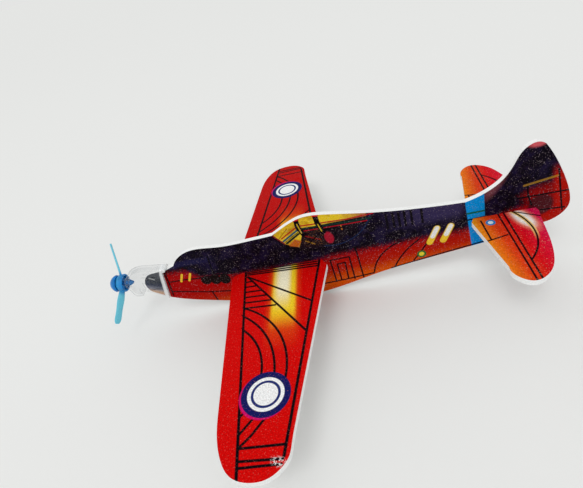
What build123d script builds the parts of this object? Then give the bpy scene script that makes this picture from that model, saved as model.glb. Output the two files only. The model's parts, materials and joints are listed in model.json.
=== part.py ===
from build123d import *
from build123d.topology import SkipClean
import math
import os

# A flat-sheet foam hand glider.  Every plate is die-cut from printed 2 mm expanded
# polystyrene.  The wing and the tailplane are pushed through slots in the fuselage, a clear
# moulded cap clips over the nose tab, and a two-blade propeller spins on a barbed pin.
#
# While the pieces are drawn, X runs aft, Y to starboard and Z up.  Stations (X) are counted
# from the wing's mid-chord and heights (Z) from the wing's upper surface.  At the end all the
# pieces move together, so that the origin is at the centre of the whole glider's base.

# ---------------------------------------------------------------- driving dimensions, mm
FOAM = 2.0                      # thickness of the foam sheet

# grip zone on each side of the fuselage, below the wing
GRIP = (0.0, -9.0)              # its middle: station, height
GRIP_LENGTH = 30.0
GRIP_HEIGHT = 10.0

# wing, one plate from tip to tip
WING_HALF_SPAN = 85.8
WING_LE_ROOT = -20.1            # leading edge carried on to the centre line
WING_LE_SWEEP = 0.087           # aft travel per mm of span
WING_TE_ROOT = 20.4
WING_TE_SWEEP = -0.153
WING_SLOT_FRONT = -15.5
WING_SLOT_REAR = 17.5
WING_SHOULDER = 4.6             # where the notched root meets the full chord

# tailplane, one plate from tip to tip
TAIL_TOP = 6.4                  # height of its upper surface
TAIL_HALF_SPAN = 36.5
TAIL_LE_ROOT = 73.9
TAIL_LE_SWEEP = 0.172
TAIL_SLOT_FRONT = 75.5
TAIL_SLOT_REAR = 96.8
TAIL_SHOULDER = 3.2

# nose cap, a clear moulded bullet with an open underside
CAP_WIDTH = 4.8
CAP_CAVITY_WIDTH = 3.0
CAP_WALL = 1.0
CAP_ROUND = 1.1
CAP_TIP = (-66.8, 5.0)          # where the thrust line leaves the cap
CAP_FRONT_WALL = 1.5            # plastic that the barb hooks behind
CAP_BOSS_RADIUS = 2.1           # bearing boss around the bore
CAP_BOSS_RISE = 0.15
BEAD = 0.25                     # the rim's bead stands proud by this much
RIB_MIDDLE = -54.4              # station of the grip ribs on each inner wall
RIB_LENGTH = 8.5
RIB_WIDTH = 0.6
RIB_HEIGHTS = (6.3, 2.8, -0.6)
RIB_ROOT = 0.1                  # sunk into the wall

# propeller and its pin, along the thrust line
THRUST_PITCH = 6.0              # degrees nose-up
PIN_RADIUS = 0.90
RUNNING_GAP = 0.05              # radial, pin in hub and pin in cap
HUB_RADIUS = 3.85
HUB_LENGTH = 3.1
HUB_CUP_DEPTH = 1.3             # hollow in the hub's rear face
HUB_STANDOFF = 0.35             # hub rim ahead of the cap's tip
BLADE_PLANE = 1.2               # blades' middle, ahead of the hub's rim
BLADE_RADIUS = 17.9
BLADE_CONE = 14.0               # degrees that the blades lean forward
BLADE_PITCH = 34.0
BLADE_THICKNESS = 0.9
BLADE_CHORDS = ((2.4, 2.5), (5.0, 2.8), (10.0, 3.1), (14.5, 3.2), (17.0, 2.8), (17.75, 1.8))  # at radii
BLADE_REST_ANGLE = 128.0        # degrees from port, turning towards up
HEAD_RADIUS = 3.65
HEAD_LENGTH = 3.3
HEAD_BRIM = 0.7                 # straight rim of the head behind its dome
HEAD_GAP = 0.30                 # between the hub and the pin's head
BARB_RADIUS = 1.32
BARB_LENGTH = 1.5
BARB_SLIT = 0.45


# ---------------------------------------------------------------- helpers
def side_face(*edges):
    """A face in the XZ plane through a closed run of (station, height) edges."""
    return Plane.XZ * make_face(list(edges))


def plate(outline):
    """Foam sheet cut to an outline, centred on the outline's plane."""
    return extrude(outline, FOAM / 2, both=True)


def thrust_plane(distance):
    """The plane square to the thrust line, a distance ahead of the cap's tip: x port, y up."""
    pitch = math.radians(THRUST_PITCH)
    forward = Vector(-math.cos(pitch), 0, math.sin(pitch))
    start = Vector(CAP_TIP[0], 0, CAP_TIP[1])
    return Plane(origin=start + forward * distance, x_dir=(0, -1, 0), z_dir=forward)


def turned(outline):
    """A solid of revolution about the thrust line, from (radius, distance ahead) corners."""
    face = make_face(Polyline(*outline, close=True))
    return thrust_plane(0) * revolve(Plane.XZ * face, Axis.Z)


# ---------------------------------------------------------------- fuselage
def fuselage_outline():
    fin_foot = (73, 14.2)
    cowl = Spline((-42.5, 9.9), (-39.0, 13.5), (-33.2, 15.8), (-22.0, 15.1), (-8.0, 15.1), (1.5, 15.6))
    screen_points = ((1.5, 15.6), (7.4, 18.7), (14.2, 21.1), (23.6, 20.5), (37.9, 17.8), (57.4, 15.3))
    screen = Spline(*screen_points, fin_foot)
    fin = Spline(fin_foot, (80, 16.6), (85.5, 20.4), (89.2, 25.8), (92, 30.4), (95.6, 32.3), (98.8, 31))
    rudder = Spline(
        (98.8, 31), (101.6, 26.2), (104.2, 20.5), (107.6, 10.2), (107.7, 4.8), (104.3, 0.8), (100.4, -0.7),
    )
    boom = Line((100.4, -0.7), (79.6, -5.5))
    belly = Spline((79.6, -5.5), (55.2, -9.0), (39.2, -11.8), (21.9, -16.1), (4.0, -18.3), (-14.0, -16.6))
    chin = Spline((-14.0, -16.6), (-32.4, -12.2), (-50.3, -6.4), tangents=[(-0.97, 0.22), (-0.90, 0.42)])
    tab_foot = Line((-50.3, -6.4), (-56.4, -2.2))
    tab_nose = Spline((-56.4, -2.2), (-58.6, 2.0), (-57.4, 5.6), (-53.2, 8.0))
    tab_top = Line((-53.2, 8.0), (-46.4, 8.5))
    step = Line((-46.4, 8.5), (-42.5, 9.9))
    return cowl, screen, fin, rudder, boom, belly, chin, tab_foot, tab_nose, tab_top, step


def slot(front, rear, top):
    """The cutter for a slot that takes one sheet, as long as front to rear."""
    middle = ((front + rear) / 2, 0, top - FOAM / 2)
    return Pos(*middle) * Box(rear - front, 3 * FOAM, FOAM)


def make_fuselage():
    body = plate(side_face(*fuselage_outline()))
    body -= slot(WING_SLOT_FRONT, WING_SLOT_REAR, 0)
    body -= slot(TAIL_SLOT_FRONT, TAIL_SLOT_REAR, TAIL_TOP)
    with SkipClean():           # keeps the grip zone's outline on the two sides
        return body + Pos(GRIP[0], 0, GRIP[1]) * Box(GRIP_LENGTH, FOAM, GRIP_HEIGHT)


# ---------------------------------------------------------------- wing and tailplane
def mirrored_face(*half):
    """A face from the edges of its starboard half and their port mirror images."""
    edges = list(half)
    edges += [mirror(edge, about=Plane.XZ) for edge in half]
    return make_face(edges)


def wing_le(span):
    return WING_LE_ROOT + WING_LE_SWEEP * span


def wing_te(span):
    return WING_TE_ROOT + WING_TE_SWEEP * span


def make_wing():
    inner = FOAM / 2
    front_end = (wing_le(66), 66)
    rear_end = (wing_te(72), 72)
    notch_front = Line((WING_SLOT_FRONT, 0), (WING_SLOT_FRONT, inner))
    lead = Spline(
        (WING_SLOT_FRONT, inner), (-18.6, 2.3), (wing_le(WING_SHOULDER + 1), WING_SHOULDER + 1),
        tangents=[(-0.6, 0.2), (WING_LE_SWEEP, 1)],
    )
    leading = Line(lead @ 1, front_end)
    tip = Spline(
        front_end, (-11.5, 78.5), (-7.4, 84.1), (-2.0, WING_HALF_SPAN), (3.7, 84.7), (7.7, 80.9), rear_end,
        tangents=[(WING_LE_SWEEP, 1), (-WING_TE_SWEEP, -1)],
    )
    trailing = Line(rear_end, (wing_te(WING_SHOULDER), WING_SHOULDER))
    heel = Line(trailing @ 1, (WING_SLOT_REAR, inner))
    notch_rear = Line((WING_SLOT_REAR, inner), (WING_SLOT_REAR, 0))
    face = mirrored_face(notch_front, lead, leading, tip, trailing, heel, notch_rear)
    return plate(Pos(0, 0, -FOAM / 2) * face)


def tail_le(span):
    return TAIL_LE_ROOT + TAIL_LE_SWEEP * span


def make_tailplane():
    inner = FOAM / 2
    front_end = (tail_le(29), 29)
    shoulder_front = (tail_le(TAIL_SHOULDER), TAIL_SHOULDER)
    notch_front = Line((TAIL_SLOT_FRONT, 0), (TAIL_SLOT_FRONT, inner))
    lead = Line(notch_front @ 1, shoulder_front)
    leading = Line(shoulder_front, front_end)
    tip = Spline(
        front_end, (80.5, 34.4), (83.9, TAIL_HALF_SPAN), (88.7, 34.3), (92.7, 27.3), (95.2, 16.0),
        (97.2, TAIL_SHOULDER),
    )
    heel = Line(tip @ 1, (TAIL_SLOT_REAR, inner))
    notch_rear = Line((TAIL_SLOT_REAR, inner), (TAIL_SLOT_REAR, 0))
    face = mirrored_face(notch_front, lead, leading, tip, heel, notch_rear)
    return plate(Pos(0, 0, TAIL_TOP - FOAM / 2) * face)


# ---------------------------------------------------------------- nose cap
def bullet(wall, rear):
    """The cap's side outline, moved in by a wall, with its rear end at a station."""
    top = Line((rear, 9.7 - wall - 0.14 * (rear + 46.4)), (-57.0, 11.2 - wall))
    nose = Spline(
        top @ 1, (-62.9 + 0.7 * wall, 10.1 - 0.8 * wall), (CAP_TIP[0] + wall, CAP_TIP[1]),
        (-65.9 + 0.8 * wall, 0.6 + 0.3 * wall), (-63.2 + 0.2 * wall, -2.3 + wall),
        tangents=[(-1, 0.1), (1, -0.1)],
    )
    return top, nose


def make_nose_cap():
    top, nose = bullet(0, -46.4)
    foot = Line(nose @ 1, (-61.7, -2.3))
    foot_rear = Line(foot @ 1, (-61.7, 1.9))
    underside = Line(foot_rear @ 1, (-50.4, -5.2))
    rim = Line(underside @ 1, (-47.9, 8.3))
    tongue = Polyline(rim @ 1, (-46.4, 8.6), (-46.4, 9.7))
    side = side_face(top, nose, foot, foot_rear, underside, rim, *tongue.edges())
    shell = extrude(side, CAP_WIDTH / 2, both=True)
    outer = [e for e in shell.edges() if abs(abs(e.center().Y) - CAP_WIDTH / 2) < 0.01]
    crown = [e for e in outer if e.geom_type == GeomType.BSPLINE or (e.length > 8 and e.center().Z > 9)]
    shell = fillet(crown, CAP_ROUND)

    band = Polyline(rim @ 0, (-52.0, -4.0), (-49.3, 8.0), rim @ 1)
    shell += extrude(side_face(rim, *band.edges()), CAP_WIDTH / 2 + BEAD, both=True)

    roof, chamber = bullet(CAP_WALL, -40.0)
    sump = Polyline(chamber @ 1, (-61.0, -1.2), (-61.0, -9.0), (-40.0, -9.0), roof @ 0)
    cavity = extrude(side_face(roof, chamber, *sump.edges()), CAP_CAVITY_WIDTH / 2, both=True)
    shell -= cavity

    rib_height = (CAP_CAVITY_WIDTH - FOAM) / 2
    for hand in (-1, 1):
        for height in RIB_HEIGHTS:
            middle = hand * (CAP_CAVITY_WIDTH / 2 - rib_height / 2 + RIB_ROOT)
            bar = Box(RIB_LENGTH, rib_height + 2 * RIB_ROOT, RIB_WIDTH)
            shell += Pos(RIB_MIDDLE, middle, height) * Rot(0, THRUST_PITCH, 0) * bar
    boss = thrust_plane(-CAP_FRONT_WALL) * extrude(Circle(CAP_BOSS_RADIUS), CAP_FRONT_WALL + CAP_BOSS_RISE)
    bore = thrust_plane(-CAP_FRONT_WALL - 3) * extrude(Circle(PIN_RADIUS + RUNNING_GAP), CAP_FRONT_WALL + 6)
    return shell + boss - bore


# ---------------------------------------------------------------- propeller and pin
def blade_section(radius, chord):
    """The blade's rounded section at a radius, square to the span."""
    twist = BLADE_PITCH * (1.25 - 0.5 * radius / BLADE_RADIUS)
    station = Plane(origin=(radius, 0, 0), x_dir=(0, 1, 0), z_dir=(1, 0, 0)).rotated((twist, 0, 0))
    station.origin = Vector(radius, 0, 0)
    return station * Ellipse(chord / 2, BLADE_THICKNESS / 2)


def make_blade():
    """One blade along local X with its root inside the hub."""
    return loft([blade_section(radius, chord) for radius, chord in BLADE_CHORDS])


def make_propeller():
    rear = HUB_STANDOFF
    front = rear + HUB_LENGTH
    bore = PIN_RADIUS + RUNNING_GAP
    hub = turned([
        (bore, rear + HUB_CUP_DEPTH), (2.6, rear + HUB_CUP_DEPTH), (3.1, rear), (HUB_RADIUS - 0.2, rear),
        (HUB_RADIUS, rear + 0.2), (HUB_RADIUS, front - 1.0), (3.0, front), (bore, front),
    ])
    middle = thrust_plane(rear + BLADE_PLANE)
    blades = [middle * Rot(0, 0, BLADE_REST_ANGLE + half_turn) * Rot(0, -BLADE_CONE, 0) * make_blade()
              for half_turn in (0, 180)]
    core = thrust_plane(-2) * extrude(Circle(2.2), 12)
    return hub + [blade - core for blade in blades]


def make_axle_pin():
    head = HUB_STANDOFF + HUB_LENGTH + HEAD_GAP
    brim = head + HEAD_BRIM
    hook = -CAP_FRONT_WALL - 0.2
    end = hook - BARB_LENGTH
    rise = HEAD_LENGTH - HEAD_BRIM
    ball = (HEAD_RADIUS ** 2 + rise ** 2) / (2 * rise)
    start = math.degrees(math.asin((ball - rise) / ball))
    dome = CenterArc((0, brim + rise - ball), ball, start, 90 - start)
    stem = Polyline(
        dome @ 1, (0, end), (0.55, end), (BARB_RADIUS, hook), (PIN_RADIUS, hook), (PIN_RADIUS, head),
        (HEAD_RADIUS - 0.25, head), dome @ 0,
    )
    pin = thrust_plane(0) * revolve(Plane.XZ * make_face([dome, *stem.edges()]), Axis.Z)
    slit = thrust_plane(end - 0.5) * extrude(Rectangle(BARB_SLIT, 6), BARB_LENGTH + 1.6)
    return pin - slit


# ---------------------------------------------------------------- the whole glider
pieces = {
    "fuselage": make_fuselage(),
    "wing": make_wing(),
    "tailplane": make_tailplane(),
    "nose_cap": make_nose_cap(),
    "propeller": make_propeller(),
    "axle_pin": make_axle_pin(),
}
whole = Compound([solid for piece in pieces.values() for solid in piece.solids()]).bounding_box()
home = Pos(-whole.center().X, -whole.center().Y, -whole.min.Z)
os.makedirs("parts", exist_ok=True)
for name, piece in pieces.items():
    export_step(home * piece, f"parts/{name}.step")
print("moved by", home.position)
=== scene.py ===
import json
import math

import bmesh
import bpy
from mathutils import Matrix, Vector


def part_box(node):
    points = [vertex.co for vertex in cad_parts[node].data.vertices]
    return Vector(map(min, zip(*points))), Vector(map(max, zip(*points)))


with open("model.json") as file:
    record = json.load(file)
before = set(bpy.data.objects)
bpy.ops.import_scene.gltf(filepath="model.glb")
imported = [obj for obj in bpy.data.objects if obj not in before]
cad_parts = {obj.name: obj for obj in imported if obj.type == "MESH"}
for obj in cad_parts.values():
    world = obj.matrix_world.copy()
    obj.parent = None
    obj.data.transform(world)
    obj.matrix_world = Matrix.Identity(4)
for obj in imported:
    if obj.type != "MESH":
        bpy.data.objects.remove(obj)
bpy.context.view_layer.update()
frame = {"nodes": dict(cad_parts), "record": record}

# The looks of a printed foam-sheet hand glider.  The sheets, the cap, the propeller and the pin
# are the CAD nodes themselves.  All the printing is drawn by the node trees below, in
# millimetres: stations run aft from the wing's mid-chord, heights up from the wing's upper face.

WING_FRONT = -19.6              # station of the wing plate's foremost point
wing_low, wing_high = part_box("wing")
HOME = Vector((wing_low.x - WING_FRONT / 1000, 0, wing_high.z))     # station 0, height 0

INK = (0.003, 0.002, 0.004)
FLOOR_RADIUS = 40.0             # m
SURROUND = 0.78                 # strength of the even light from all round


# ---------------------------------------------------------------- node helpers
class Tree:
    """A material's node tree, with one short call for each kind of node."""

    def __init__(self, name):
        self.material = bpy.data.materials.new(name)
        self.material.use_nodes = True
        self.nodes = self.material.node_tree.nodes
        self.links = self.material.node_tree.links
        self.shader = next(n for n in self.nodes if n.type == "BSDF_PRINCIPLED")
        self.column = 0

    def node(self, kind, **settings):
        made = self.nodes.new(kind)
        self.column += 1
        made.location = (-200 * (self.column % 40) - 300, 120 * (self.column // 40))
        for name, value in settings.items():
            setattr(made, name, value)
        return made

    def put(self, socket, value):
        """Links an output to the socket, or sets a plain number, colour or point on it."""
        if isinstance(value, bpy.types.NodeSocket):
            self.links.new(value, socket)
        else:
            socket.default_value = value

    def clamped(self, value):
        """The value, kept from 0 to 1."""
        made = self.node("ShaderNodeClamp")
        self.put(made.inputs[0], value)
        return made.outputs[0]

    def scaled(self, vector, share):
        made = self.node("ShaderNodeVectorMath", operation="SCALE")
        self.put(made.inputs[0], vector)
        self.put(made.inputs["Scale"], share)
        return made.outputs[0]

    def math(self, operation, *values):
        made = self.node("ShaderNodeMath", operation=operation)
        for socket, value in zip(made.inputs, values):
            self.put(socket, value)
        return made.outputs[0]

    def vector(self, operation, *values):
        made = self.node("ShaderNodeVectorMath", operation=operation)
        for socket, value in zip(made.inputs, values):
            self.put(socket, value)
        return made.outputs["Value" if operation in ("LENGTH", "DOT_PRODUCT", "DISTANCE") else "Vector"]

    def ramp(self, value, low, high, at_low=0.0, at_high=1.0, smooth=True):
        made = self.node("ShaderNodeMapRange", interpolation_type="SMOOTHSTEP" if smooth else "LINEAR")
        for socket, v in zip(made.inputs, (value, low, high, at_low, at_high)):
            self.put(socket, v)
        return made.outputs["Result"]

    def mix(self, share, under, over):
        made = self.node("ShaderNodeMix", data_type="RGBA")
        self.put(made.inputs[0], share)
        for socket, value in zip((made.inputs[6], made.inputs[7]), (under, over)):
            self.put(socket, (*value, 1) if isinstance(value, tuple) and len(value) == 3 else value)
        return made.outputs[2]

    def colours(self, value, stops):
        """A colour ramp, from (place, colour) stops."""
        made = self.node("ShaderNodeValToRGB")
        ramp = made.color_ramp
        while len(ramp.elements) < len(stops):
            ramp.elements.new(0.5)
        for element, (place, colour) in zip(ramp.elements, stops):
            element.position = place
            element.color = (*colour, 1)
        self.put(made.inputs[0], value)
        return made.outputs[0]

    def noise(self, point, scale, detail=2.0, roughness=0.5):
        """Smooth noise around 0.5; scale is in features per mm."""
        made = self.node("ShaderNodeTexNoise")
        self.put(made.inputs["Vector"], point)
        made.inputs["Scale"].default_value = scale
        made.inputs["Detail"].default_value = detail
        made.inputs["Roughness"].default_value = roughness
        return made.outputs["Fac"]

    def cells(self, point, scale):
        """The distance from the nearest of a scatter of points."""
        made = self.node("ShaderNodeTexVoronoi", feature="F1")
        self.put(made.inputs["Vector"], point)
        made.inputs["Scale"].default_value = scale
        return made.outputs["Distance"]

    def place(self):
        """The point in millimetres from station 0, height 0."""
        coordinates = self.node("ShaderNodeTexCoord")
        return self.vector("MULTIPLY_ADD", coordinates.outputs["Object"], (1000,) * 3, tuple(-1000 * HOME))

    def node_outputs(self, point):
        """The point's three coordinates."""
        made = self.node("ShaderNodeSeparateXYZ")
        self.put(made.inputs[0], point)
        return made.outputs

    def flat(self, x, y):
        """A point from two numbers, with nothing in its third place."""
        made = self.node("ShaderNodeCombineXYZ")
        self.put(made.inputs[0], x)
        self.put(made.inputs[1], y)
        return made.outputs[0]


class Print:
    """Ink on one face: distances in millimetres from lines, arcs and discs, in a flat plane."""

    def __init__(self, tree, point):
        self.t = tree
        self.p = point

    def line(self, *points):
        """The distance from a run of straight lines."""
        nearest = None
        for a, b in zip(points, points[1:]):
            run = Vector(b) - Vector(a)
            out = self.t.vector("SUBTRACT", self.p, (*a, 0))
            along = self.t.vector("DOT_PRODUCT", out, (*(run / run.length_squared), 0))
            closest = self.t.scaled((*run, 0), self.t.clamped(along))
            distance = self.t.vector("DISTANCE", out, closest)
            nearest = distance if nearest is None else self.t.math("MINIMUM", nearest, distance)
        return nearest

    def arc(self, a, middle, b):
        """The distance from the arc through three points, on the middle's side of the chord."""
        centre, radius = circle(a, middle, b)
        chord = (Vector(b) - Vector(a)).normalized()
        side = Vector((-chord.y, chord.x))
        if side.dot(Vector(middle) - Vector(a)) < 0:
            side = -side
        ring = self.ring(centre, radius)
        out = self.t.vector("SUBTRACT", self.p, (*a, 0))
        behind = self.t.vector("DOT_PRODUCT", out, (*-side, 0))
        return self.t.math("MAXIMUM", ring, behind)

    def ring(self, centre, radius):
        """The distance from a circle."""
        away = self.t.vector("DISTANCE", self.p, (*centre, 0))
        return self.t.math("ABSOLUTE", self.t.math("SUBTRACT", away, radius))

    def disc(self, centre, size, turn=0.0):
        """1 at the rim of an ellipse of half sizes size, less inside."""
        out = self.t.vector("SUBTRACT", self.p, (*centre, 0))
        c, s = math.cos(math.radians(turn)), math.sin(math.radians(turn))
        across = self.t.vector("DOT_PRODUCT", out, (c / size[0], s / size[0], 0))
        up = self.t.vector("DOT_PRODUCT", out, (-s / size[1], c / size[1], 0))
        return self.t.vector("LENGTH", self.t.flat(across, up))

    def slope(self, a, b):
        """The signed distance from the line through a and b, positive on its left."""
        run = (Vector(b) - Vector(a)).normalized()
        out = self.t.vector("SUBTRACT", self.p, (*a, 0))
        return self.t.vector("DOT_PRODUCT", out, (-run.y, run.x, 0))

    def region(self, *corners):
        """The signed distance outside a convex region, its corners counter-clockwise."""
        outside = None
        for a, b in zip(corners, corners[1:] + corners[:1]):
            side = self.slope(b, a)
            outside = side if outside is None else self.t.math("MAXIMUM", outside, side)
        return outside

    def strokes(self, *runs):
        """The least distance from several runs of straight lines."""
        nearest = self.line(*runs[0])
        for run in runs[1:]:
            nearest = self.t.math("MINIMUM", nearest, self.line(*run))
        return nearest

    def arcs(self, nearest, *bends):
        """The least of a distance and those from several arcs."""
        for bend in bends:
            nearest = self.t.math("MINIMUM", nearest, self.arc(*bend))
        return nearest

    def ink(self, distance, width, soft=0.14):
        """1 on a stroke of that width, 0 off it."""
        return self.t.ramp(distance, width / 2 + soft, width / 2 - soft)

    def fill(self, distance, soft=0.14):
        """1 inside a region, 0 outside it."""
        return self.t.ramp(distance, soft, -soft)


def circle(a, b, c):
    """Centre and radius of the circle through three points."""
    (ax, ay), (bx, by), (cx, cy) = a, b, c
    d = 2 * (ax * (by - cy) + bx * (cy - ay) + cx * (ay - by))
    a2, b2, c2 = ax * ax + ay * ay, bx * bx + by * by, cx * cx + cy * cy
    centre = (
        (a2 * (by - cy) + b2 * (cy - ay) + c2 * (ay - by)) / d,
        (a2 * (cx - bx) + b2 * (ax - cx) + c2 * (bx - ax)) / d,
    )
    return centre, math.hypot(ax - centre[0], ay - centre[1])


# ---------------------------------------------------------------- foam
def beads(t, point):
    """Foam's pattern of beads, about 0.5 mm across, and the fine grain on it."""
    grain = t.noise(point, 3.2, 3.0, 0.6)
    bead = t.cells(point, 1.9)
    coarse = t.noise(point, 0.55, 2.0)
    return grain, bead, coarse


def foam_surface(name, draw, printed_axis, both_sides, glint_share, glint_colour):
    """Foam sheet whose faces across one axis are printed by draw, with bare white cut edges."""
    t = Tree(name)
    point = t.place()
    grain, bead, coarse = beads(t, point)
    colour = draw(t, point, grain)

    # the grain shows through the ink, and the pale flecks on the beads are painted glints of light
    shade = t.ramp(t.noise(point, 2.1, 3.0, 0.65), 0.30, 0.70, 0.70, 1.22, smooth=False)
    colour = t.scaled(colour, shade)
    painted_glints = t.ramp(t.noise(point, 2.3, 1.0), 0.63, 0.70)
    painted_glints = t.math("MULTIPLY", painted_glints, t.ramp(coarse, 0.40, 0.60, 0.35, 1.0))
    colour = t.mix(t.math("MULTIPLY", painted_glints, glint_share), colour, glint_colour)

    facing = t.node("ShaderNodeNewGeometry")
    out = t.node("ShaderNodeVectorTransform", vector_type="NORMAL")
    out.convert_from, out.convert_to = "WORLD", "OBJECT"
    t.put(out.inputs[0], facing.outputs["Normal"])
    across = t.node_outputs(out.outputs[0])[printed_axis]
    if both_sides:
        across = t.math("ABSOLUTE", across)
    printed = t.ramp(across, 0.80, 0.93)
    bare = t.mix(t.ramp(bead, 0.2, 0.8), (0.94, 0.94, 0.93), (0.84, 0.85, 0.85))
    colour = t.mix(printed, bare, colour)

    t.put(t.shader.inputs["Base Color"], colour)
    rough = t.ramp(grain, 0.35, 0.75, 0.34, 0.55)
    t.put(t.shader.inputs["Roughness"], t.math("ADD", rough, t.math("MULTIPLY", printed, -0.04)))
    t.shader.inputs["Specular IOR Level"].default_value = 0.02

    height = t.math("ADD", t.math("MULTIPLY", grain, 0.8), t.math("MULTIPLY", bead, 0.6))
    height = t.math("ADD", height, t.math("MULTIPLY", coarse, 1.4))
    bump = t.node("ShaderNodeBump")
    bump.inputs["Strength"].default_value = 0.55
    bump.inputs["Distance"].default_value = 0.00009
    t.put(bump.inputs["Height"], height)
    t.put(t.shader.inputs["Normal"], bump.outputs[0])
    return t.material


# ---------------------------------------------------------------- the wing's print
ROUNDEL = (0.0, 60.0)


def wing_print(t, point, grain):
    x, y, _ = t.node_outputs(point)
    span = t.math("ABSOLUTE", y)
    p = Print(t, t.flat(x, span))

    red = t.mix(t.ramp(grain, 0.3, 0.75), (0.56, 0.001, 0.001), (0.76, 0.003, 0.002))
    # painted shade: the starboard half of the red is darkened by about a fifth
    red = t.scaled(red, t.ramp(y, -4.0, 4.0, 1.0, 0.78))
    # light catches the middle of the inner wing: cream, then yellow, then orange into the red
    middle = t.math("ABSOLUTE", t.math("SUBTRACT", x, t.math("MULTIPLY_ADD", span, 0.02, 2.7)))
    jitter = t.math("MULTIPLY_ADD", grain, 2.2, -1.1)
    across = t.math("ADD", middle, jitter)
    out = t.math("ADD", span, t.math("MULTIPLY", jitter, 2.0))
    warm = t.math("MULTIPLY", t.ramp(across, 7.5, 3.2), t.ramp(out, 46.0, 26.0))
    yellow = t.math("MULTIPLY", t.ramp(across, 5.4, 3.6), t.ramp(out, 36.0, 24.0))
    cream = t.math("MULTIPLY", t.ramp(t.math("ADD", across, t.math("MULTIPLY", x, 0.18)), 4.4, 1.6),
                   t.ramp(out, 27.0, 12.0))
    colour = t.mix(t.math("MULTIPLY", warm, 0.6), red, (0.80, 0.13, 0.008))
    colour = t.mix(yellow, colour, (0.90, 0.62, 0.02))
    colour = t.mix(cream, colour, (0.96, 0.90, 0.66))

    # panel lines
    spars = p.strokes([(-14.3, 0), (-5.6, 85.6)], [(16.8, 1.0), (6.9, 79.5)])
    colour = t.mix(p.ink(spars, 0.95), colour, INK)
    runs = [
        [(-13.0, 4.1), (13.7, 23.2)], [(-13.0, 4.1), (11.8, 36.8)],
        [(-6.3, 76.4), (7.2, 76.3)], [(-5.9, 80.0), (6.6, 80.2)], [(-5.7, 81.8), (6.3, 81.6)],
        [(-6.3, 76.2), (-3.1, 73.0), (0.9, 67.5)], [(-6.8, 72.4), (-2.8, 67.4)],
        [(-7.3, 66.9), (-5.4, 64.6)],
    ]
    for rib in range(6):
        start = 7.3 + 2.95 * rib
        runs.append([(-13.4 + 0.3 * rib, start), (-10.4 + 2.1 * rib, start + 0.12 * rib)])
    for root in (1.8, 3.15, 4.5):
        runs.append([(-13.4, 0.75 * root - 0.4), (16.4, root)])
    lines = p.arcs(
        p.strokes(*runs),
        ((-12.1, 22.0), (0.9, 33.5), (5.9, 54.4)),
        ((-11.7, 26.2), (-1.2, 38.6), (2.1, 53.0)),
        ((-10.9, 32.9), (-4.4, 41.6), (-2.2, 52.8)),
    )
    colour = t.mix(p.ink(lines, 0.84), colour, INK)

    # a plain roundel: navy, white and a navy ring, with magenta ink a little off register
    fringe = t.vector("DISTANCE", p.p, (-0.55, 60.55, 0))
    colour = t.mix(t.ramp(fringe, 8.1, 7.7), colour, (0.62, 0.004, 0.13))
    away = t.vector("DISTANCE", p.p, (*ROUNDEL, 0))
    navy = t.mix(t.ramp(grain, 0.35, 0.7), (0.004, 0.007, 0.085), (0.012, 0.016, 0.14))
    colour = t.mix(t.ramp(away, 7.98, 7.78), colour, navy)
    colour = t.mix(t.ramp(away, 5.98, 5.78), colour, (0.90, 0.905, 0.91))
    colour = t.mix(p.ink(p.ring(ROUNDEL, 4.3), 0.85, 0.1), colour, (0.015, 0.03, 0.16))

    # white scuffs where the tip has been rubbed
    rub = p.disc((5.6, 81.0), (3.6, 1.9), 20)
    rub = t.math("MULTIPLY", t.ramp(rub, 1.0, 0.2), t.ramp(t.noise(point, 1.25, 3.0, 0.7), 0.50, 0.56))
    rub = t.math("MULTIPLY", rub, t.ramp(y, 0.0, -1.0))
    return t.mix(rub, colour, (0.78, 0.76, 0.75))


# ---------------------------------------------------------------- the tailplane's print
def tail_print(t, point, grain):
    x, y, _ = t.node_outputs(point)
    span = t.math("ABSOLUTE", y)
    p = Print(t, t.flat(x, span))
    jitter = t.math("MULTIPLY_ADD", grain, 3.0, -1.5)
    chord = t.math("ADD", t.math("SUBTRACT", x, t.math("MULTIPLY", span, 0.10)), jitter)
    share = t.ramp(chord, 73.0, 95.0, smooth=False)
    colour = t.colours(share, [
        (0.00, (0.86, 0.40, 0.010)), (0.16, (0.78, 0.16, 0.006)), (0.34, (0.68, 0.045, 0.006)),
        (0.58, (0.64, 0.004, 0.008)), (0.80, (0.66, 0.005, 0.030)), (1.00, (0.66, 0.006, 0.075)),
    ])
    # a white flare inside the arc, yellow towards its rim
    flare = p.disc((91.0, 5.6), (3.2, 7.6), -17)
    flare = t.math("ADD", flare, t.math("MULTIPLY", jitter, 0.06))
    colour = t.mix(t.math("MULTIPLY", t.ramp(flare, 1.35, 0.7), 0.75), colour, (0.85, 0.30, 0.20))
    colour = t.mix(t.ramp(flare, 0.98, 0.45), colour, (0.94, 0.90, 0.86))

    rim = ((88.8, 0.9), (92.1, 12.0), (86.6, 26.8))
    halo = t.math("MULTIPLY", p.ink(p.arc(*rim), 1.5, 0.2), t.ramp(span, 19.0, 12.0))
    colour = t.mix(halo, colour, (0.88, 0.58, 0.20))
    lines = p.strokes(
        [(84.1, 0.8), (84.6, 37.2)], [(86.0, 0.6), (86.2, 36.8)], [(88.8, 0.8), (92.8, 3.7), (96.6, 6.2)],
        [(77.6, 3.2), (77.9, 14.2)], [(75.9, 15.1), (83.6, 13.3)],
    )
    colour = t.mix(p.ink(p.arcs(lines, rim), 0.62), colour, INK)
    away = t.vector("DISTANCE", p.p, (80.4, 5.1, 0))
    colour = t.mix(t.ramp(away, 1.75, 1.5), colour, (0.01, 0.22, 0.55))
    return t.mix(t.ramp(away, 1.0, 0.75), colour, (0.75, 0.82, 0.85))


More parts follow.
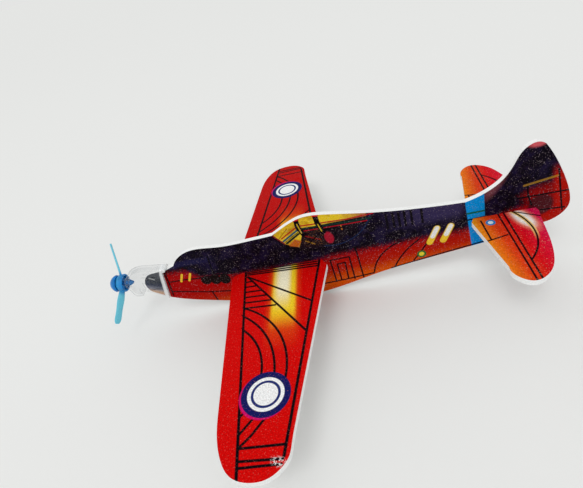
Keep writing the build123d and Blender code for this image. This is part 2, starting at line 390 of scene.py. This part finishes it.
# ---------------------------------------------------------------- the fuselage's print
def side_print(t, point, _):
    x, _, z = t.node_outputs(point)
    p = Print(t, t.flat(x, z))
    broad = t.noise(point, 0.20, 3.0, 0.6)
    fleck = t.noise(point, 2.4, 3.0, 0.75)
    jitter = t.math("MULTIPLY_ADD", fleck, 9.0, -4.5)

    # flank: red, going orange towards the belly and along the rear half
    belly = t.ramp(t.math("ADD", t.math("MULTIPLY_ADD", x, -0.07, z), t.math("MULTIPLY", jitter, 0.5)),
                   -13.5, -2.5, smooth=False)
    colour = t.colours(belly, [
        (0.00, (0.62, 0.075, 0.001)), (0.45, (0.42, 0.010, 0.001)), (1.00, (0.36, 0.001, 0.001)),
    ])
    # dark upper side with a speckled lower border
    border = t.colours(t.ramp(x, -50.0, 110.0, smooth=False), [
        (0.00, (0.58,) * 3), (0.07, (0.55,) * 3), (0.105, (0.30,) * 3), (0.17, (0.24,) * 3),
        (0.40, (0.20,) * 3), (0.45, (0.28,) * 3), (0.76, (0.33,) * 3), (0.90, (0.66,) * 3),
    ])
    edge = t.math("MULTIPLY_ADD", border, 20.0, -5.0)          # height of the border, mm
    above = t.math("SUBTRACT", t.math("ADD", z, jitter), edge)
    dark = t.mix(t.ramp(broad, 0.42, 0.66), (0.003, 0.0015, 0.005), (0.010, 0.006, 0.028))
    dark = t.mix(t.ramp(fleck, 0.55, 0.70), dark, (0.028, 0.014, 0.033))
    colour = t.mix(t.ramp(above, -1.4, 1.4), colour, dark)
    stripe = t.ramp(t.math("ABSOLUTE", t.math("SUBTRACT", z, 10.2)), 2.2, 0.6)
    sheen = t.math("MULTIPLY", t.ramp(x, -20.0, -34.0), stripe)
    colour = t.mix(t.math("MULTIPLY", sheen, 0.5), colour, (0.020, 0.018, 0.085))
    # purple haze on the boom behind the canopy, and red showing through near the border
    haze = t.math("MULTIPLY", t.ramp(x, 40.0, 60.0), t.ramp(x, 74.0, 70.0))
    haze = t.math("MULTIPLY", haze, t.ramp(z, 6.0, 11.0))
    colour = t.mix(t.math("MULTIPLY", haze, 0.75), colour, (0.042, 0.030, 0.095))
    glow = t.math("MULTIPLY", t.ramp(t.math("ABSOLUTE", above), 3.0, 0.4), t.ramp(fleck, 0.42, 0.62))
    colour = t.mix(t.math("MULTIPLY", glow, 0.35), colour, (0.16, 0.010, 0.015))

    # fin: pink at the foot of its leading edge, red tip, red lower rudder with a dark patch
    foot = p.disc((83.0, 19.0), (2.8, 9.0), -34)
    colour = t.mix(t.math("MULTIPLY", t.ramp(foot, 1.1, 0.3), 0.35), colour, (0.45, 0.12, 0.13))
    tip = p.disc((96.2, 32.3), (3.6, 1.9))
    colour = t.mix(t.ramp(tip, 1.25, 0.6), colour, (0.62, 0.10, 0.12))
    rudder = t.math("ADD", p.region((90.5, 12.5), (95.0, 5.6), (109.0, 2.0), (109.0, 19.0), (94.0, 15.2)),
                    t.math("MULTIPLY", jitter, 0.7))
    colour = t.mix(t.ramp(rudder, 1.0, -3.4), colour, (0.24, 0.002, 0.002))
    rear = p.region((103.8, 0), (109, 0), (109, 24), (102, 24))
    rear = t.math("MULTIPLY", t.ramp(rear, 1.5, -1.0), t.ramp(z, 24.0, 18.0))
    colour = t.mix(rear, colour, (0.40, 0.006, 0.002))
    patch = p.disc((98.4, 7.2), (4.4, 4.6))
    colour = t.mix(t.math("MULTIPLY", t.ramp(patch, 1.1, 0.8), 0.85), colour, (0.035, 0.008, 0.012))

    # canopy: gold panes over dark frames
    glass = p.region((2.0, 15.4), (5.6, 10.4), (10.0, 7.3), (17.0, 5.8), (24.5, 6.0), (38.0, 15.4),
                     (38.0, 24.0), (8.0, 24.0))
    pane = t.mix(t.ramp(broad, 0.38, 0.62), (0.50, 0.27, 0.008), (0.80, 0.58, 0.025))
    gold = t.math("MULTIPLY", p.fill(glass, 0.2), t.ramp(p.slope((10.0, 16.2), (38.5, 16.6)), -0.2, 0.2))
    front = p.region((2.0, 15.4), (5.6, 10.4), (10.6, 7.8), (13.2, 14.0), (11.4, 21.0), (6.0, 20.0))
    colour = t.mix(p.fill(glass, 0.2), colour, (0.010, 0.005, 0.010))
    colour = t.mix(t.math("MAXIMUM", gold, p.fill(front, 0.15)), colour, pane)
    fade = t.ramp(t.math("ADD", x, t.math("MULTIPLY", jitter, 1.5)), 27.0, 37.0)
    colour = t.mix(t.math("MULTIPLY", t.math("MULTIPLY", fade, gold), 0.75), colour, (0.40, 0.08, 0.05))
    # what shows inside it
    seat = p.disc((22.8, 9.8), (1.75, 3.0), 8)
    seat = t.math("ADD", seat, t.math("MULTIPLY", jitter, 0.05))
    colour = t.mix(t.ramp(seat, 1.10, 0.80), colour, (0.36, 0.010, 0.028))
    low = p.region((6.6, 9.2), (10.4, 8.0), (12.0, 10.6), (9.6, 12.0))
    colour = t.mix(p.fill(low, 0.3), colour, (0.50, 0.12, 0.012))
    spark = t.math("MULTIPLY", p.fill(p.region((12.6, 7.0), (21.0, 7.0), (21.5, 14.4), (13.4, 15.0)), 0.4),
                   t.ramp(fleck, 0.57, 0.63))
    colour = t.mix(t.math("MULTIPLY", spark, 0.38), colour, (0.52, 0.22, 0.03))
    red = (0.42, 0.006, 0.015)
    teal = (0.012, 0.10, 0.15)
    for bend, width, stroke in (
        (((1.2, 15.6), (11.0, 6.6), (24.0, 6.4)), 0.7, INK),
        (((39.8, 17.6), (34.4, 9.4), (20.5, 6.2)), 0.55, (0.010, 0.018, 0.06)),
    ):
        colour = t.mix(p.ink(p.arc(*bend), width, 0.12), colour, stroke)
    for run, width, stroke in (
        ([(4.7, 13.2), (11.0, 16.9)], 0.55, red),
        ([(5.2, 11.9), (11.6, 15.8)], 0.8, teal),
        ([(6.3, 10.7), (11.8, 14.1)], 0.9, (0.010, 0.025, 0.016)),
        ([(5.7, 11.3), (11.7, 14.9)], 0.3, INK),
        ([(4.0, 13.6), (8.0, 17.4)], 0.35, (0.35, 0.16, 0.010)),
        ([(13.2, 17.5), (31.0, 16.7), (40.5, 17.1)], 0.55, red),
        ([(12.8, 16.2), (30.0, 15.4), (39.5, 15.3)], 0.8, (0.006, 0.03, 0.022)),
        ([(13.4, 15.0), (30.0, 14.5), (38.0, 14.4)], 0.4, red),
        ([(12.2, 20.6), (12.2, 17.0), (13.6, 13.4)], 2.0, INK),
        ([(19.6, 20.9), (19.8, 17.4), (21.2, 13.0)], 2.0, INK),
        ([(12.2, 18.6), (13.0, 14.2)], 0.4, (0.60, 0.42, 0.02)),
        ([(19.9, 16.8), (20.7, 13.4)], 0.4, (0.60, 0.42, 0.02)),
        ([(28.2, 14.4), (28.3, 12.4)], 0.4, (0.50, 0.16, 0.02)),
        ([(14.2, 12.4), (19.4, 9.6)], 0.45, (0.26, 0.010, 0.010)),
        ([(13.6, 10.2), (16.8, 8.0)], 0.45, (0.30, 0.15, 0.012)),
        ([(14.0, 8.2), (19.8, 12.6)], 0.5, INK),
        ([(21.2, 14.0), (30.4, 13.2), (30.6, 9.0)], 0.6, INK),
        ([(25.4, 13.6), (25.6, 7.6)], 0.6, INK),
        ([(11.3, 20.5), (12.9, 20.5)], 0.9, (0.60, 0.012, 0.010)),
        ([(18.8, 21.0), (20.5, 20.8)], 0.9, (0.66, 0.012, 0.010)),
        ([(1.4, 15.9), (5.4, 10.6)], 0.6, (0.20, 0.008, 0.02)),
    ):
        colour = t.mix(p.ink(p.line(*run), width, 0.12), colour, stroke)

    # the bright blue band in front of the tail
    band = p.region((75.0, -9.0), (80.0, -9.0), (79.4, 18.0), (72.6, 18.0))
    blue = t.mix(t.ramp(z, -6.0, 12.0), (0.002, 0.22, 0.60), (0.002, 0.27, 0.70))
    colour = t.mix(p.fill(band, 0.2), colour, blue)
    in_band = p.fill(band, 0.1)
    green = t.math("MULTIPLY", p.ink(p.line((73.0, 9.0), (80.0, 9.1)), 0.8), in_band)
    colour = t.mix(green, colour, (0.006, 0.12, 0.08))

    # panel lines
    lines = p.strokes(
        [(-47.6, 8.3), (-48.1, 2.0), (-49.2, -5.6)],
        [(-47.7, 1.9), (-41.3, 1.8), (-34.9, 1.3), (-13.3, 1.0)],
        [(-48.6, -3.4), (-34.0, -6.8), (-16.0, -9.6)],
        [(-26.8, 11.5), (-27.8, 1.6)], [(-31.8, -7.2), (-31.1, -12.6)],
        [(31.6, 2.9), (32.4, -13.0)], [(16.0, -13.0), (24.8, -12.6), (36.8, -11.6)],
        [(21.2, -13.0), (20.8, -1.4), (28.5, -1.2), (28.8, -13.0)],
        [(23.4, -12.4), (23.2, -3.9), (26.4, -3.7), (26.3, -12.4)],
        [(52.9, -8.5), (56.1, -4.6), (59.4, 0.2)], [(44.0, -10.6), (62.0, -7.6), (79.6, -4.9)],
        [(70.5, 6.0), (80.2, 6.5)], [(90.6, 11.6), (107.5, 11.4)],
        [(93.4, 19.5), (94.1, 12.0), (95.4, 7.8)], [(103.4, 20.6), (105.7, 3.4)],
        [(98.5, 5.0), (106.4, 4.4)],
    )
    lines = p.arcs(
        lines,
        ((37.1, -10.8), (41.0, -3.0), (48.9, 1.8)),
        ((45.4, -10.2), (50.0, -3.5), (55.0, 0.8)),
    )
    colour = t.mix(p.ink(lines, 0.62), colour, INK)
    # cooling slots behind the canopy
    stations = (45.0, 47.4, 49.5, 51.6, 54.0, 57.7)
    bars = p.strokes(*([(station, 15.2), (station + 0.1, 9.0)] for station in stations))
    colour = t.mix(p.ink(bars, 0.9, 0.2), colour, (0.005, 0.003, 0.006))
    # three exhausts in a row on the cowl
    stubs = p.disc((-31.9, -0.5), (2.3, 2.3))
    for station, height in ((-27.9, -0.9), (-23.9, -1.5)):
        stubs = t.math("MINIMUM", stubs, p.disc((station, height), (2.4, 2.7)))
    colour = t.mix(t.ramp(stubs, 1.06, 0.92), colour, (0.008, 0.003, 0.003))
    # a small round filler cap
    away = t.vector("DISTANCE", p.p, (56.1, -6.0, 0))
    colour = t.mix(t.ramp(away, 1.85, 1.6), colour, (0.010, 0.12, 0.03))
    colour = t.mix(t.ramp(away, 1.15, 0.9), colour, (0.72, 0.58, 0.03))
    # plain recognition bars stand where a number would be
    yellow = (0.82, 0.50, 0.03)
    for low, high in (((-42.6, 1.2), (-40.9, 4.7)), ((-39.0, 1.0), (-37.3, 4.4))):
        colour = t.mix(p.ink(p.line(low, high), 0.95, 0.12), colour, yellow)
    for base in (59.6, 64.6):
        bar = p.line((base, -1.0), (base + 3.0, 5.0))
        colour = t.mix(p.ink(bar, 2.5, 0.2), colour, (0.82, 0.52, 0.03))
        over = p.line((base + 1.2, 1.5), (base + 3.0, 5.1))
        colour = t.mix(p.ink(over, 1.7, 0.3), colour, (0.80, 0.80, 0.78))
    stripe = p.line((92.6, 16.4), (103.2, 18.0))
    colour = t.mix(t.math("MULTIPLY", p.ink(stripe, 0.8, 0.2), 0.55), colour, (0.50, 0.26, 0.02))

    # printed spinner on the tab inside the cap
    tab = t.ramp(p.slope((-50.9, -8.0), (-47.9, 10.0)), -0.1, 0.1)
    shade = t.colours(t.ramp(t.math("MULTIPLY_ADD", x, 0.45, z), -29.5, -17.0, smooth=False), [
        (0.00, (0.60, 0.20, 0.13)), (0.20, (0.66, 0.42, 0.27)),
        (0.34, (0.24, 0.24, 0.30)), (0.52, (0.020, 0.027, 0.065)),
        (0.80, (0.022, 0.026, 0.038)), (1.00, (0.07, 0.075, 0.09)),
    ])
    colour = t.mix(tab, colour, shade)
    # painted highlight: a pale glint across the front of the printed spinner
    spark = p.line((-55.4, 5.9), (-53.6, 4.6))
    return t.mix(t.math("MULTIPLY", p.ink(spark, 0.5, 0.25), 0.7), colour, (0.75, 0.75, 0.75))


# ---------------------------------------------------------------- plastics
HUB = tuple(1000 * (Vector(frame["record"]["behaviour"]["joints"][1]["pos_m"]) - HOME))


def moulded(name, colour, rough, through, thin_colour=None):
    """Glossy moulded plastic with faint flow marks, paler where it is thin, away from the hub."""
    t = Tree(name)
    point = t.place()
    flow = t.noise(point, 0.35, 2.0)
    fine = t.noise(point, 2.6, 2.0)
    shade = tuple(0.72 * c for c in colour)
    tone = t.mix(t.ramp(flow, 0.35, 0.65), shade, colour)
    if thin_colour:
        out = t.vector("DISTANCE", point, HUB)
        tone = t.mix(t.ramp(out, 3.6, 6.5), tone, thin_colour)
    t.put(t.shader.inputs["Base Color"], tone)
    t.put(t.shader.inputs["Roughness"], t.ramp(fine, 0.3, 0.7, rough - 0.04, rough + 0.06))
    t.shader.inputs["Transmission Weight"].default_value = through
    t.shader.inputs["IOR"].default_value = 1.49
    t.shader.inputs["Specular IOR Level"].default_value = 0.35
    bump = t.node("ShaderNodeBump")
    bump.inputs["Strength"].default_value = 0.3
    bump.inputs["Distance"].default_value = 0.000012
    t.put(bump.inputs["Height"], t.math("ADD", flow, t.math("MULTIPLY", fine, 0.4)))
    t.put(t.shader.inputs["Normal"], bump.outputs[0])
    return t.material


def clear_plastic():
    """Thin clear plastic: hardly seen face on, milky and glossy along its edges and its rim."""
    t = Tree("clear_cap")
    point = t.place()
    flow = t.noise(point, 0.28, 2.0)
    t.put(t.shader.inputs["Roughness"], t.ramp(flow, 0.3, 0.7, 0.06, 0.14))
    t.shader.inputs["IOR"].default_value = 1.5
    t.shader.inputs["Coat Weight"].default_value = 0.6
    t.shader.inputs["Coat Roughness"].default_value = 0.04
    # the thick bead around the open end
    x, _, z = t.node_outputs(point)
    rim = t.ramp(t.math("MULTIPLY_ADD", z, -0.225, x), -51.3, -50.8)
    edge = t.node("ShaderNodeLayerWeight")
    edge.inputs["Blend"].default_value = 0.5
    body = t.ramp(edge.outputs["Facing"], 0.25, 0.95, 0.045, 0.50)
    tint = t.mix(t.ramp(flow, 0.35, 0.65), (0.30, 0.33, 0.35), (0.40, 0.43, 0.45))
    t.put(t.shader.inputs["Base Color"], t.mix(rim, tint, (0.84, 0.86, 0.87)))
    t.put(t.shader.inputs["Alpha"], t.math("MAXIMUM", body, t.math("MULTIPLY", rim, 0.7)))
    bump = t.node("ShaderNodeBump")
    bump.inputs["Strength"].default_value = 0.3
    bump.inputs["Distance"].default_value = 0.00005
    t.put(bump.inputs["Height"], flow)
    t.put(t.shader.inputs["Normal"], bump.outputs[0])
    return t.material


def dress(node, material):
    piece = frame["nodes"][node]
    piece.data.materials.clear()
    piece.data.materials.append(material)


dress("wing", foam_surface("wing_foam", wing_print, 2, False, 0.28, (0.85, 0.28, 0.22)))
dress("tailplane", foam_surface("tail_foam", tail_print, 2, False, 0.28, (0.88, 0.60, 0.42)))
dress("fuselage", foam_surface("fuselage_foam", side_print, 1, True, 0.36, (0.42, 0.34, 0.36)))
dress("nose_cap", clear_plastic())
dress("axle_pin", moulded("pin_plastic", (0.002, 0.21, 0.62), 0.22, 0.05))
dress("propeller", moulded("propeller_plastic", (0.002, 0.23, 0.64), 0.22, 0.05, (0.15, 0.60, 0.76)))


# ---------------------------------------------------------------- the stand: floor, light, camera
def plain(name, colour, rough):
    t = Tree(name)
    t.shader.inputs["Base Color"].default_value = (*colour, 1)
    t.shader.inputs["Roughness"].default_value = rough
    t.shader.inputs["Specular IOR Level"].default_value = 0.0
    return t.material


def floor():
    """A pale round sheet, wide enough to meet the pale surround at the horizon."""
    sheet = bmesh.new()
    bmesh.ops.create_circle(sheet, cap_ends=True, radius=FLOOR_RADIUS, segments=64)
    mesh = bpy.data.meshes.new("floor")
    sheet.to_mesh(mesh)
    sheet.free()
    made = bpy.data.objects.new("floor", mesh)
    mesh.materials.append(plain("floor_card", (0.838, 0.842, 0.834), 0.7))
    bpy.context.scene.collection.objects.link(made)


def sun(strength, tilt, towards, spread):
    """Even light from far away; spread is how wide it looks, in degrees."""
    data = bpy.data.lights.new("sun", "SUN")
    data.energy = strength
    data.angle = math.radians(spread)
    made = bpy.data.objects.new("sun", data)
    made.rotation_euler = (math.radians(tilt), 0, math.radians(towards))
    bpy.context.scene.collection.objects.link(made)


def soft_light(name, place, aim, size, watts, colour=(1, 1, 1)):
    data = bpy.data.lights.new(name, "AREA")
    data.size = size
    data.energy = watts
    data.color = colour
    made = bpy.data.objects.new(name, data)
    made.location = place
    made.rotation_euler = (Vector(aim) - Vector(place)).to_track_quat("-Z", "Y").to_euler()
    bpy.context.scene.collection.objects.link(made)


def surround(strength):
    world = bpy.data.worlds.new("studio")
    world.use_nodes = True
    back = world.node_tree.nodes["Background"]
    back.inputs["Color"].default_value = (0.995, 1.0, 0.99, 1)
    back.inputs["Strength"].default_value = strength
    bpy.context.scene.world = world


def camera():
    """The view from port, ahead and above, rolled to the right."""
    azimuth, elevation, roll = (math.radians(a) for a in (13.614, 35.348, -18.436))
    back = Vector((math.sin(azimuth) * math.cos(elevation), -math.cos(azimuth) * math.cos(elevation),
                   math.sin(elevation)))
    right = (-back).cross(Vector((0, 0, 1))).normalized()
    up = right.cross(-back)
    across = right * math.cos(roll) + up * math.sin(roll)
    over = up * math.cos(roll) - right * math.sin(roll)
    data = bpy.data.cameras.new("camera")
    data.sensor_width = 36
    data.lens = 27.52
    data.clip_start = 0.01
    made = bpy.data.objects.new("camera", data)
    place = HOME + Vector((0.0412, -0.1384, 0.1103))
    made.matrix_world = Matrix.Translation(place) @ Matrix((across, over, back)).transposed().to_4x4()
    bpy.context.scene.collection.objects.link(made)
    bpy.context.scene.camera = made


floor()
surround(SURROUND)
sun(0.58, 34, -12, 22)
soft_light("overhead", (-0.25, -0.2, 0.8), (0, 0, 0), 0.35, 0.25)
camera()
view = bpy.context.scene.view_settings
view.view_transform = "Standard"
view.look = "None"
